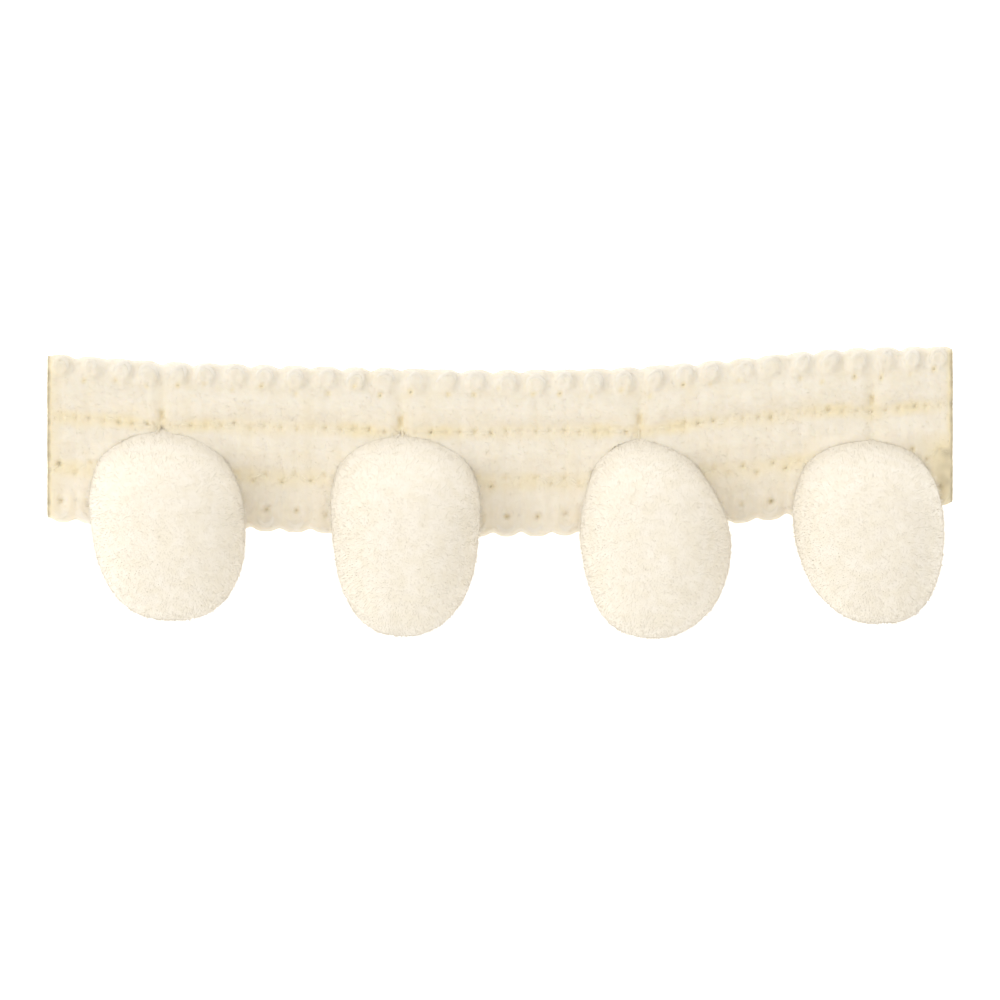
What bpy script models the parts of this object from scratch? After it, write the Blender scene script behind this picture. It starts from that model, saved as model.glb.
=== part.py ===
"""A cut length of pompom fringe trim, lying flat on its back with its face up.

A narrow knitted heading runs along X, with its picot edge towards +Y. Four cut-pile pompoms hang from it
towards -Y, each held by a tie that comes out of a small slit. The trim rests on the plane z = 0.
Sizes are in millimetres and are scaled to metres where points are placed.
"""

import math
import random
from bisect import bisect_right
from collections import namedtuple

import bmesh
import bpy
from mathutils import Vector

MM = 0.001

# Finishes: linear colour and roughness of the matt ivory yarns
KNIT_COLOUR = (0.86, 0.80, 0.66)
KNIT_ROUGHNESS = 0.9
PILE_COLOUR = (0.92, 0.88, 0.78)
PILE_ROUGHNESS = 0.95
THREAD_COLOUR = (0.84, 0.76, 0.58)
THREAD_ROUGHNESS = 0.8

# Heading: a course is one picot along the length, and eight courses lie from pompom to pompom
COURSES = 31
COLUMNS_PER_COURSE = 4
COLUMNS = COURSES * COLUMNS_PER_COURSE
HALF_LENGTH = 54.4
NOMINAL_WIDTH = 19.8
SHARP_ANGLE = math.radians(60)

# Y of the top edge and width of the heading, at stations along its length
Station = namedtuple("Station", "x top width")
STATIONS = (
    Station(-54.4, 16.60, 20.2),
    Station(-40.8, 15.70, 20.1),
    Station(-27.2, 15.05, 19.9),
    Station(-13.6, 14.60, 19.8),
    Station(0.0, 14.35, 19.8),
    Station(13.6, 14.70, 19.8),
    Station(27.2, 15.75, 19.8),
    Station(40.8, 16.95, 19.6),
    Station(54.4, 17.50, 19.1),
)

# Rows across the heading: distance below the top edge, height of the face, and how a row repeats.
# At a low point of its repeat, a row lies lower by dip and is drawn in by draw.
Row = namedtuple("Row", "name below height repeat dip draw")
ROWS = (
    Row("picot tip", 0.0, 1.30, "course", 0.45, 0.75),
    Row("picot crown", 0.9, 2.25, "course", 0.55, 0.20),
    Row("picot root", 1.9, 1.90, "course", 0.30, 0.0),
    Row("picot seam", 2.8, 1.55, "course", 0.45, 0.0),
    Row("first cable rise", 3.5, 2.25, "plump", 0.15, 0.0),
    Row("first cable crown", 4.7, 2.80, "plump", 0.20, 0.0),
    Row("first cable fall", 5.9, 2.35, "plump", 0.15, 0.0),
    Row("first groove upper lip", 6.7, 1.60, "none", 0.0, 0.0),
    Row("first groove", 7.35, 1.50, "stitch", 0.55, 0.0),
    Row("first groove lower lip", 8.0, 1.60, "none", 0.0, 0.0),
    Row("second cable rise", 8.8, 2.25, "plump", 0.15, 0.0),
    Row("second cable crown", 10.2, 2.70, "plump", 0.20, 0.0),
    Row("second cable fall", 11.6, 2.20, "plump", 0.15, 0.0),
    Row("second groove upper stitch", 12.8, 1.60, "middle", 0.65, 0.0),
    Row("second groove lower stitch", 13.8, 1.60, "end", 0.65, 0.0),
    Row("third cable rise", 14.7, 1.90, "plump", 0.10, 0.0),
    Row("third cable crown", 15.8, 2.05, "plump", 0.15, 0.0),
    Row("scallop seam", 17.6, 1.65, "middle", 0.70, 0.0),
    Row("scallop crown", 18.7, 1.70, "course", 0.40, -0.10),
    Row("scallop tip", 19.8, 1.00, "course", 0.20, -0.60),
)

# How often the plump rows swell along the heading, in radians a column: two waves that beat
PLUMP_WAVE = 0.83
PLUMP_BEAT = 0.37

# Slits, the pinch above each pompom, and the shoulders of the first cable beside it
SLIT_BELOW = 6.3
SLIT_HALF_LENGTH = 0.7
SLIT_FLOOR = 0.75
PINCH_CENTRE = 5.4
PINCH_SPREAD = 2.6
PINCH_HALF_WIDTH = 1.0
PINCH_DEPTH = 0.75
SHOULDER_REACH = 3.2
SHOULDER_DROP = 0.9

# Ties: how far a point is along the way from the slit to the pompom's end, how much further in
# +Y it lies, and its height
TIE_RADIUS = 0.30
TiePoint = namedtuple("TiePoint", "along past height")
TIE_PATH = (
    TiePoint(0.0, -0.25, 1.98),
    TiePoint(0.1, -0.25, 2.10),
    TiePoint(0.6, 0.10, 2.90),
    TiePoint(0.9, 0.10, 3.35),
    TiePoint(1.0, -0.70, 3.50),
    TiePoint(1.0, -2.10, 3.50),
)

# Pompoms: the slit's place in courses and its x, x of the axis at both ends and the middle, y of
# both ends, size, and how far the half towards the tie and the half towards the tip are fuller
# than a plain barrel
Pompom = namedtuple(
    "Pompom",
    "slit_course slit_x top_x middle_x tip_x top_y tip_y width depth tie_fullness tip_fullness seed",
)
POMPOMS = (
    Pompom(4, -40.6, -41.0, -39.8, -39.2, 7.6, -15.5, 18.1, 16.6, 0.05, 0.00, 11),
    Pompom(12, -11.9, -11.7, -11.3, -11.6, 7.1, -17.4, 17.2, 16.2, 0.20, -0.06, 23),
    Pompom(20, 16.8, 16.7, 18.6, 18.2, 6.7, -17.6, 17.9, 16.8, -0.18, -0.05, 37),
    Pompom(28, 44.7, 43.9, 44.2, 45.4, 6.7, -15.8, 17.6, 16.4, 0.02, -0.08, 41),
)
BARREL = 2.3
CORE_INSET = 2.1
GIRTH_CUTS = 2
LENGTH_CUTS = 4
AXIS_HEIGHT = 7.1
TIE_END_DROP = 3.6
TIP_END_DROP = 0.6
UNDERSIDE = 0.72
TIE_MOUTH = 0.97
LOCK_GAP = 0.26
LOCK_DOME = 0.30
LOCK_UNEVEN = 0.22
LOCK_SHIFT = 0.18
SHORTEST_LOCK = 0.6

# Clearances: the heading is pressed flat under a pompom, which lies on it and bends over its edge
CLEAR = 0.3
PRESS_REACH = 0.9
PRESSED = 1.50
PRESSED_EDGE = 1.00
EDGE_STRIP = 2.4
LEDGE = PRESSED + CLEAR + 0.05
LEDGE_LIP = 0.4
LEDGE_RUN = 3.2


def clear_scene():
    """Removes what the scene held."""
    for thing in list(bpy.data.objects):
        bpy.data.objects.remove(thing, do_unlink=True)


def material(name, colour, roughness):
    """A matt yarn finish."""
    made = bpy.data.materials.new(name)
    made.use_nodes = True
    shader = made.node_tree.nodes["Principled BSDF"]
    shader.inputs["Base Color"].default_value = (*colour, 1.0)
    shader.inputs["Roughness"].default_value = roughness
    shader.inputs["Metallic"].default_value = 0.0
    return made


def hermite(low, high, slope_low, slope_high, share):
    """A smooth value between two others, with a slope at each."""
    cube = share**3
    square = share**2
    return (
        (2 * cube - 3 * square + 1) * low
        + (cube - 2 * square + share) * slope_low
        + (3 * square - 2 * cube) * high
        + (cube - square) * slope_high
    )


def curve_through(places, values, place):
    """Reads a smooth curve through values at rising places."""
    last = len(places) - 1
    low = min(max(bisect_right(places, place) - 1, 0), last - 1)
    span = places[low + 1] - places[low]
    slopes = []
    for knot in (low, low + 1):
        before = max(knot - 1, 0)
        after = min(knot + 1, last)
        slopes.append(span * (values[after] - values[before]) / (places[after] - places[before]))
    share = (place - places[low]) / span
    return hermite(values[low], values[low + 1], *slopes, share)


def along(column, x):
    """One column of STATIONS, read at x on a smooth curve through the stations."""
    places = [station.x for station in STATIONS]
    return curve_through(places, [getattr(station, column) for station in STATIONS], x)


def lower_edge(x):
    """Y of the heading's lower edge."""
    return along("top", x) - along("width", x)


def bell(distance, reach):
    """A smooth bump that is 1 at no distance and fades past reach."""
    return math.exp(-((distance / reach) ** 2))


def repeat_share(repeat, column):
    """How far a column of a row is at a low point of its repeat, from 0 to 1."""
    course = column % COLUMNS_PER_COURSE / COLUMNS_PER_COURSE
    if repeat == "course":
        return 1 - abs(math.sin(math.pi * course))
    if repeat == "stitch":
        return (column + 1) % 2
    if repeat == "end":
        return 1.0 if column % COLUMNS_PER_COURSE == 0 else 0.0
    if repeat == "middle":
        return 1.0 if column % COLUMNS_PER_COURSE == COLUMNS_PER_COURSE // 2 else 0.0
    if repeat == "plump":
        return 0.5 + 0.5 * math.sin(column * PLUMP_WAVE) * math.cos(column * PLUMP_BEAT)
    return 0.0


def barrel_point(pompom, unit, inset):
    """A point of a pompom's barrel, in millimetres, from a point of the unit barrel.

    unit.y runs from 1 at the tie to -1 at the tip, and inset is how far inside the pile's tips it lies.
    """
    share = unit.y
    middle = pompom.middle_x
    bow = (pompom.top_x + pompom.tip_x) / 2 - middle
    lean = (pompom.top_x - pompom.tip_x) / 2
    axis_x = middle + lean * share + bow * share**2
    axis_y = (pompom.top_y + pompom.tip_y) / 2
    drop = TIE_END_DROP if share > 0 else TIP_END_DROP
    axis_z = AXIS_HEIGHT - drop * share**2
    fullness = pompom.tie_fullness if share > 0 else -pompom.tip_fullness
    fuller = 1 + fullness * share
    half_width = (pompom.width / 2 - inset) * fuller
    half_length = (pompom.top_y - pompom.tip_y) / 2 - inset
    half_depth = pompom.depth / 2 - inset
    return Vector(
        (
            axis_x + half_width * unit.x,
            axis_y + half_length * share,
            axis_z + half_depth * unit.z,
        )
    )


def on_barrel(direction):
    """The point of the unit barrel in a direction."""
    size = sum(abs(value) ** BARREL for value in direction) ** (1 / BARREL)
    return direction / size


def underside(pompom, x, y):
    """Height of the underside of a pompom and its clearance over a place, or None beside them."""
    half_length = (pompom.top_y - pompom.tip_y) / 2 + PRESS_REACH
    share = (y - (pompom.top_y + pompom.tip_y) / 2) / half_length
    if abs(share) >= 1:
        return None
    spine = barrel_point(pompom, Vector((0.0, share, 0.0)), -PRESS_REACH)
    side = barrel_point(pompom, Vector((1.0, share, 0.0)), -PRESS_REACH)
    across = (x - spine.x) / (side.x - spine.x)
    left_over = 1 - abs(share) ** BARREL - abs(across) ** BARREL
    if left_over <= 0:
        return None
    return spine.z - (pompom.depth / 2 + PRESS_REACH) * left_over ** (1 / BARREL)


def pressed_height(x, y, below, width):
    """The most that the heading's face may rise at a place under or beside the pompoms."""
    most = math.inf
    least = PRESSED_EDGE if below > width - EDGE_STRIP else PRESSED
    for pompom in POMPOMS:
        over = underside(pompom, x, y)
        if over is not None:
            most = min(most, max(over, least))
    return most


def column_x(column):
    """X of a column of the heading's face: the slits and the cut ends set the pitch of the courses."""
    courses = [0, *(pompom.slit_course for pompom in POMPOMS), COURSES]
    places = [-HALF_LENGTH, *(pompom.slit_x for pompom in POMPOMS), HALF_LENGTH]
    return curve_through(courses, places, column / COLUMNS_PER_COURSE)


def slit_y(pompom):
    """Y of the middle of a pompom's slit."""
    return along("top", pompom.slit_x) - SLIT_BELOW


def heading_point(row, column):
    """A point of the heading's face, in millimetres."""
    x = column_x(column)
    low = repeat_share(row.repeat, column)
    width = along("width", x)
    below = row.below * width / NOMINAL_WIDTH + row.draw * low
    height = row.height - row.dip * low
    on_cable = bell(row.below - PINCH_CENTRE, PINCH_SPREAD)
    for pompom in POMPOMS:
        aside = x - pompom.slit_x
        below += SHOULDER_DROP * bell(aside, SHOULDER_REACH) * on_cable
        height -= PINCH_DEPTH * bell(aside, PINCH_HALF_WIDTH) * on_cable
        in_slit = column == pompom.slit_course * COLUMNS_PER_COURSE
        if in_slit and abs(row.below - SLIT_BELOW) < SLIT_HALF_LENGTH:
            height = SLIT_FLOOR
    y = along("top", x) - below
    height = min(height, pressed_height(x, y, below, width))
    return Vector((x, y, height))


def finish_object(name, mesh, group, finish):
    """An object for a mesh, in the trim's collection."""
    made = bpy.data.objects.new(name, mesh)
    made.data.materials.append(finish)
    group.objects.link(made)
    return made


def build_heading(group, finish):
    """The knitted heading: a grid shaped by its rows, with a wall down to its flat back."""
    form = bmesh.new()
    bmesh.ops.create_grid(form, x_segments=COLUMNS, y_segments=len(ROWS) - 1, size=1.0)
    for point in form.verts:
        column = round((point.co.x + 1) / 2 * COLUMNS)
        row = ROWS[round((1 - point.co.y) / 2 * (len(ROWS) - 1))]
        point.co = heading_point(row, column) * MM
    rim = [edge for edge in form.edges if edge.is_boundary]
    wall = bmesh.ops.extrude_edge_only(form, edges=rim)["geom"]
    foot = [item for item in wall if isinstance(item, bmesh.types.BMEdge) and item.is_boundary]
    for point in {end for edge in foot for end in edge.verts}:
        point.co.z = 0.0
    bmesh.ops.contextual_create(form, geom=foot)
    bmesh.ops.recalc_face_normals(form, faces=form.faces)
    mesh = bpy.data.meshes.new("heading")
    form.to_mesh(mesh)
    form.free()
    mesh.shade_smooth()
    mesh.set_sharp_from_angle(angle=SHARP_ANGLE)
    return finish_object("heading", mesh, group, finish)


def rest_height(x, y):
    """The lowest that a pompom may reach at a place: the surface, or the ledge over the heading."""
    outside = lower_edge(x) - LEDGE_LIP - y
    share = min(max(1 - outside / LEDGE_RUN, 0.0), 1.0)
    return LEDGE * share


def settled(point, lift):
    """A point of a pompom, raised to lift over what it rests on where it would lie lower."""
    least = rest_height(point.x, point.y) + lift
    return Vector((point.x, point.y, max(point.z, least)))


def carries_lock(pompom, unit):
    """Whether a lock stands at a place of a pompom's core.

    None does where the core lies over the heading, nor where the tie comes in.
    """
    core = barrel_point(pompom, unit, CORE_INSET)
    over_heading = unit.z < -UNDERSIDE and core.y > lower_edge(core.x) - LEDGE_LIP
    return not over_heading and unit.y < TIE_MOUTH


def barrel_grid():
    """A cube with its faces cut into a grid, rounded to the unit barrel."""
    form = bmesh.new()
    bmesh.ops.create_cube(form, size=2.0)
    lengthwise = [edge for edge in form.edges if abs(edge.verts[0].co.y - edge.verts[1].co.y) > 1]
    bmesh.ops.subdivide_edges(form, edges=lengthwise, cuts=LENGTH_CUTS, use_grid_fill=True)
    across = [edge for edge in form.edges if abs(edge.verts[0].co.y - edge.verts[1].co.y) < 0.01]
    bmesh.ops.subdivide_edges(form, edges=across, cuts=GIRTH_CUTS, use_grid_fill=True)
    for point in form.verts:
        evened = Vector([math.tan(value * math.pi / 4) for value in point.co])
        point.co = on_barrel(evened)
    return form


def build_pompom(name, pompom, group, finish):
    """A cut-pile pompom: a barrel core, and a lock of four sides on each of its faces."""
    chance = random.Random(pompom.seed)
    form = barrel_grid()
    rooted = [
        face for face in form.faces if carries_lock(pompom, on_barrel(face.calc_center_median()))
    ]
    inset = LOCK_GAP / (pompom.width / 2 - CORE_INSET)
    bmesh.ops.inset_individual(form, faces=rooted, thickness=inset, depth=0.0)
    grown = bmesh.ops.extrude_discrete_faces(form, faces=rooted)["faces"]
    places = {}
    for face in grown:
        shift = Vector([chance.uniform(-LOCK_SHIFT, LOCK_SHIFT) for _ in range(3)])
        short = chance.uniform(0.0, LOCK_UNEVEN)
        for point in face.verts:
            tip = barrel_point(pompom, on_barrel(point.co), LOCK_DOME + short)
            places[point] = settled(tip + shift, 0.0)
    for point in bmesh.ops.poke(form, faces=grown)["verts"]:
        places[point] = settled(barrel_point(pompom, on_barrel(point.co), 0.0), 0.0)
    for point in form.verts:
        if point not in places:
            core = barrel_point(pompom, on_barrel(point.co), CORE_INSET)
            places[point] = settled(core, SHORTEST_LOCK)
        point.co = places[point] * MM
    bmesh.ops.recalc_face_normals(form, faces=form.faces)
    mesh = bpy.data.meshes.new(name)
    form.to_mesh(mesh)
    form.free()
    return finish_object(name, mesh, group, finish)


def build_tie(name, pompom, group, finish):
    """The thread that runs out of a slit and into the end of a pompom's pile."""
    line = bpy.data.curves.new(name, "CURVE")
    line.dimensions = "3D"
    line.bevel_depth = TIE_RADIUS * MM
    line.bevel_resolution = 2
    line.use_fill_caps = True
    spline = line.splines.new("POLY")
    spline.points.add(len(TIE_PATH) - 1)
    start = Vector((pompom.slit_x, slit_y(pompom)))
    end = Vector((pompom.top_x, pompom.top_y))
    for knot, step in zip(spline.points, TIE_PATH):
        place = start.lerp(end, step.along)
        knot.co = (place.x * MM, (place.y + step.past) * MM, step.height * MM, 1.0)
    line.materials.append(finish)
    made = bpy.data.objects.new(name, line)
    group.objects.link(made)
    return made


def main():
    """Builds the trim."""
    clear_scene()
    group = bpy.data.collections.new("pompom_fringe_trim")
    bpy.context.scene.collection.children.link(group)
    build_heading(group, material("knitted_heading", KNIT_COLOUR, KNIT_ROUGHNESS))
    for number, pompom in enumerate(POMPOMS, start=1):
        pile = material(f"pompom_pile_{number}", PILE_COLOUR, PILE_ROUGHNESS)
        build_pompom(f"pompom_{number}", pompom, group, pile)
        thread = material(f"tie_thread_{number}", THREAD_COLOUR, THREAD_ROUGHNESS)
        build_tie(f"tie_{number}", pompom, group, thread)


main()
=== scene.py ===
"""Dresses a cut length of pompom fringe trim, seen from straight above as it lies on its back.

The trim is a knitted heading of brushed cotton with a picot edge, four cut-pile pompoms of soft
acrylic yarn, and the thread that ties each pompom in at a slit. Sizes are in millimetres in the
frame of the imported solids, and MM scales them to metres where points are placed.
"""

import logging
import math
from dataclasses import dataclass, field
from enum import Enum
from typing import Callable, Iterable, Sequence

import bpy
import numpy as np
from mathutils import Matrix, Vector, noise


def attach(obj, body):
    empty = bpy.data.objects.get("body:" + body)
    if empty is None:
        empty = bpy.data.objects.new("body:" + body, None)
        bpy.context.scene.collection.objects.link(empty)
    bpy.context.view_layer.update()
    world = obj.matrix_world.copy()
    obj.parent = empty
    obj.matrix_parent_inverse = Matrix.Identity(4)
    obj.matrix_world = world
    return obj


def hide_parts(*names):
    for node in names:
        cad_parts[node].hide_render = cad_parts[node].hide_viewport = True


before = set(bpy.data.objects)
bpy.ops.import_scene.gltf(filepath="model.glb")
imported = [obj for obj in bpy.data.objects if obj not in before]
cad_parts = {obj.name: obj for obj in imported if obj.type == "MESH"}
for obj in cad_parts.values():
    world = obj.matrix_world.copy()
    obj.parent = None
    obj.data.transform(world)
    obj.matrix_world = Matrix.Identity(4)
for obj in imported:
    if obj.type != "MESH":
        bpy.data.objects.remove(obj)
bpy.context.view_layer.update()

LOG = logging.getLogger("pompom_trim")
MM = 0.001
BODY = "root"
# Point attribute that carries painted shade, with a random drift of tone and darker cut ends
DEPTH = "deep"
GOLDEN_ANGLE = math.pi * (3 - math.sqrt(5))

Array = np.ndarray
Ground = Callable[[Array, Array], Array]


class Slot(Enum):
    """The record's material slots."""

    HEADING = "heading_knit"
    PILE = "pompom_pile"
    THREAD = "tie_thread"


def linear_colour(code: str) -> tuple[float, float, float, float]:
    """Turns an sRGB hex code to linear red, green and blue, with an alpha of 1."""
    channels = []
    for start in (1, 3, 5):
        value = int(code[start : start + 2], 16) / 255
        channels.append(value / 12.92 if value <= 0.04045 else ((value + 0.055) / 1.055) ** 2.4)
    return (*channels, 1.0)


def add_node(tree, kind: str, settings: dict | None = None, links: dict | None = None):
    """Adds a node to a material or world.

    Args:
        tree: The node tree.
        kind: The node's type name.
        settings: Values by the name of a property or an input, or by the number of an input.
        links: Output sockets by the name or number of the input that each goes to.

    Returns:
        The new node.
    """
    node = tree.nodes.new(kind)
    for key, value in (settings or {}).items():
        if isinstance(key, str) and hasattr(node, key):
            setattr(node, key, value)
        else:
            node.inputs[key].default_value = value
    for key, socket in (links or {}).items():
        tree.links.new(socket, node.inputs[key])
    return node


def curve_through(places: Sequence[float], values: Sequence[float], at: Array) -> Array:
    """Reads a smooth curve through values at rising places.

    Args:
        places: Where the values are given.
        values: The values.
        at: Where the curve is read.

    Returns:
        The curve's values at those places.
    """
    places = np.asarray(places, float)
    values = np.asarray(values, float)
    at = np.asarray(at, float)
    slopes = np.empty_like(values)
    slopes[1:-1] = (values[2:] - values[:-2]) / (places[2:] - places[:-2])
    slopes[0] = (values[1] - values[0]) / (places[1] - places[0])
    slopes[-1] = (values[-1] - values[-2]) / (places[-1] - places[-2])
    low = np.clip(np.searchsorted(places, at, side="right") - 1, 0, len(places) - 2)
    span = places[low + 1] - places[low]
    share = (at - places[low]) / span
    square = share**2
    cube = share**3
    return (
        (2 * cube - 3 * square + 1) * values[low]
        + (cube - 2 * square + share) * span * slopes[low]
        + (3 * square - 2 * cube) * values[low + 1]
        + (cube - square) * span * slopes[low + 1]
    )


def bell(distance: Array, reach: float) -> Array:
    """A smooth bump that is 1 at no distance and fades past reach."""
    return np.exp(-((np.asarray(distance) / reach) ** 2))


def noise_at(points: Array, scale: float, seed: float) -> Array:
    """Smooth noise from -1 to 1 at rows of x, y and z, in lumps of a size in millimetres."""
    shifted = np.asarray(points, float) / scale + seed
    return np.array([noise.noise(Vector(point)) for point in shifted])


@dataclass(frozen=True)
class Lumps:
    """Smooth lumps: how high they are, how wide, and where in the noise they start."""

    height: float
    size: float
    seed: float

    def at(self, points: Array) -> Array:
        """Their height at rows of x, y and z."""
        return self.height * noise_at(points, self.size, self.seed)


def deselect() -> None:
    """Leaves nothing selected, in object mode."""
    if bpy.context.object and bpy.context.object.mode != "OBJECT":
        bpy.ops.object.mode_set(mode="OBJECT")
    bpy.ops.object.select_all(action="DESELECT")


def piece_from_arrays(name: str, points: Array, faces: Iterable[Sequence[int]]) -> bpy.types.Object:
    """Makes a smooth piece at the origin from points in millimetres and the point numbers of its faces."""
    mesh = bpy.data.meshes.new(name)
    mesh.from_pydata((np.asarray(points) * MM).tolist(), [], [list(face) for face in faces])
    mesh.update()
    mesh.shade_smooth()
    made = bpy.data.objects.new(name, mesh)
    bpy.context.scene.collection.objects.link(made)
    return made


def points_of(piece: bpy.types.Object) -> Array:
    """A piece's points, as rows of x, y and z in millimetres."""
    flat = np.empty(len(piece.data.vertices) * 3, np.float32)
    piece.data.vertices.foreach_get("co", flat)
    return flat.reshape(-1, 3).astype(float) / MM


def place_points(piece: bpy.types.Object, points: Array) -> None:
    """Moves a piece's points to rows of x, y and z in millimetres."""
    piece.data.vertices.foreach_set("co", (points * MM).astype(np.float32).ravel())
    piece.data.update()


def store(piece: bpy.types.Object, name: str, values: Array) -> None:
    """Keeps a value for each point of a piece as an attribute that its finish reads."""
    attribute = piece.data.attributes.new(name, "FLOAT", "POINT")
    attribute.data.foreach_set("value", np.asarray(values, np.float32))


@dataclass(frozen=True)
class Station:
    """Where the heading's top edge lies, and its width there."""

    x: float
    top: float
    width: float


@dataclass(frozen=True)
class Row:
    """A row of the knitted cloth: how far below the top edge, its height, and how far its ribs rise."""

    below: float
    height: float
    rib: float


@dataclass(frozen=True)
class Holes:
    """A line of small holes between stitches; phase is their place within a course."""

    below: float
    phase: float
    depth: float
    radius: float
    stray: float


@dataclass(frozen=True)
class PompomShape:
    """A pompom's barrel, and the slit that its tie comes out of."""

    slit_course: int
    slit_x: float
    top_x: float
    middle_x: float
    tip_x: float
    top_y: float
    tip_y: float
    width: float
    depth: float
    tie_fullness: float
    tip_fullness: float
    seed: int
    exponent: float = 2.35
    tie_thinning: float = 1.7
    squash: float = 0.4
    squash_from: float = 0.1
    squash_sharpness: float = 8.0
    axis_height: float = 7.1
    tie_end_drop: float = 3.6
    rim_drop: float = 5.40
    rim_sunk_from: float = 0.9
    tip_end_drop: float = 0.6

    @property
    def middle_y(self) -> float:
        """y half-way along the pile."""
        return (self.top_y + self.tip_y) / 2

    @property
    def half_length(self) -> float:
        """Half the pile's length."""
        return (self.top_y - self.tip_y) / 2

    def axis(self, share: Array) -> tuple[Array, Array, Array]:
        """The barrel's axis, which goes down to the cloth at the tie.

        Args:
            share: From 1 at the tie to -1 at the tip.

        Returns:
            x, z, and how much fuller than a plain barrel it is there.
        """
        bow = (self.top_x + self.tip_x) / 2 - self.middle_x
        lean = (self.top_x - self.tip_x) / 2
        sunk = np.clip(share / self.rim_sunk_from, 0, 1)
        drop = np.where(share > 0, self.rim_drop * sunk**2 * (3 - 2 * sunk), self.tip_end_drop * share**2)
        fullness = np.where(share > 0, self.tie_fullness, -self.tip_fullness)
        x = self.middle_x + lean * share + bow * share**2
        return x, self.axis_height - drop, 1 + fullness * share

    def barrel(self, unit: Array, inset: Array | float) -> Array:
        """Points of the pile, some way inside its tips.

        Args:
            unit: Rows of a point on the unit barrel, with y from 1 at the tie to -1 at the tip.
            inset: How far inside the tips each point lies.

        Returns:
            Rows of x, y and z.
        """
        share = unit[:, 1]
        x, z, fuller = self.axis(share)
        crown = self.axis_height - self.tie_end_drop * np.clip(share, 0, 1) ** 2
        upper = np.where((share > 0) & (unit[:, 2] > 0), crown - z, 0.0)
        return np.column_stack(
            (
                x + (self.width / 2 - inset) * fuller * unit[:, 0],
                self.middle_y + (self.half_length - inset) * share,
                z + (self.depth / 2 + upper - inset) * unit[:, 2],
            )
        )

    def on_barrel(self, direction: Array) -> Array:
        """The unit barrel's points in the directions given as rows.

        Its face thins out towards the tie, and its back is squashed where it lies on the cloth.
        """
        size = (np.abs(direction) ** self.exponent).sum(axis=1) ** (1 / self.exponent)
        unit = direction / size[:, None]
        thinning = 1 + self.tie_thinning * np.clip(unit[:, 1], 0, 1) ** 2
        past = self.squash_sharpness * (unit[:, 1] - self.squash_from)
        squashed = 1 - self.squash / (1 + np.exp(-past))
        power = np.where(unit[:, 2] > 0, thinning, squashed)
        unit[:, 2] = np.sign(unit[:, 2]) * np.abs(unit[:, 2]) ** power
        return unit

    def in_plan(self, x: Array, y: Array, reach: float = 0.0) -> tuple[Array, Array, Array, Array]:
        """Places as seen from above, for a surface that lies some reach outside the pile.

        Args:
            x: The places' x.
            y: The places' y.
            reach: How far outside the pile the surface lies.

        Returns:
            The share of the length, from 1 at the tie to -1 at the tip, the axis's x and height, and
            how far out a place is, which is 1 on the outline.
        """
        share = (y - self.middle_y) / (self.half_length + reach)
        axis_x, axis_z, fuller = self.axis(np.clip(share, -1, 1))
        across = (x - axis_x) / ((self.width / 2 + reach) * fuller)
        return share, axis_x, axis_z, np.abs(share) ** self.exponent + np.abs(across) ** self.exponent

    def underside(self, x: Array, y: Array, reach: float) -> Array:
        """Height of the underside at a reach outside the pile, infinite beside the pompom."""
        _, _, axis_z, out = self.in_plan(x, y, reach)
        rise = np.clip(1 - out, 0, 1) ** (1 / self.exponent)
        return np.where(out < 1, axis_z - (self.depth / 2 + reach) * rise, np.inf)

    def outside(self, x: Array, y: Array) -> tuple[Array, Array]:
        """How far outside the pile's outline places lie, and their share of its length."""
        share, axis_x, _, out = self.in_plan(x, y)
        size = np.maximum(out ** (1 / self.exponent), 0.1)
        return np.hypot(x - axis_x, y - self.middle_y) * (1 - 1 / size), share


POMPOMS = (
    PompomShape(4, -40.6, -41.0, -39.8, -39.2, 7.6, -15.5, 18.5, 16.6, 0.05, -0.02, 11),
    PompomShape(12, -11.9, -11.7, -11.3, -11.6, 7.1, -17.4, 17.5, 16.2, 0.20, -0.06, 23),
    PompomShape(20, 16.8, 16.7, 18.6, 18.2, 6.7, -17.6, 18.2, 16.8, -0.18, -0.05, 37),
    PompomShape(28, 44.7, 43.9, 44.2, 45.4, 6.7, -15.9, 18.1, 16.4, 0.02, -0.08, 41),
)


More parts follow.
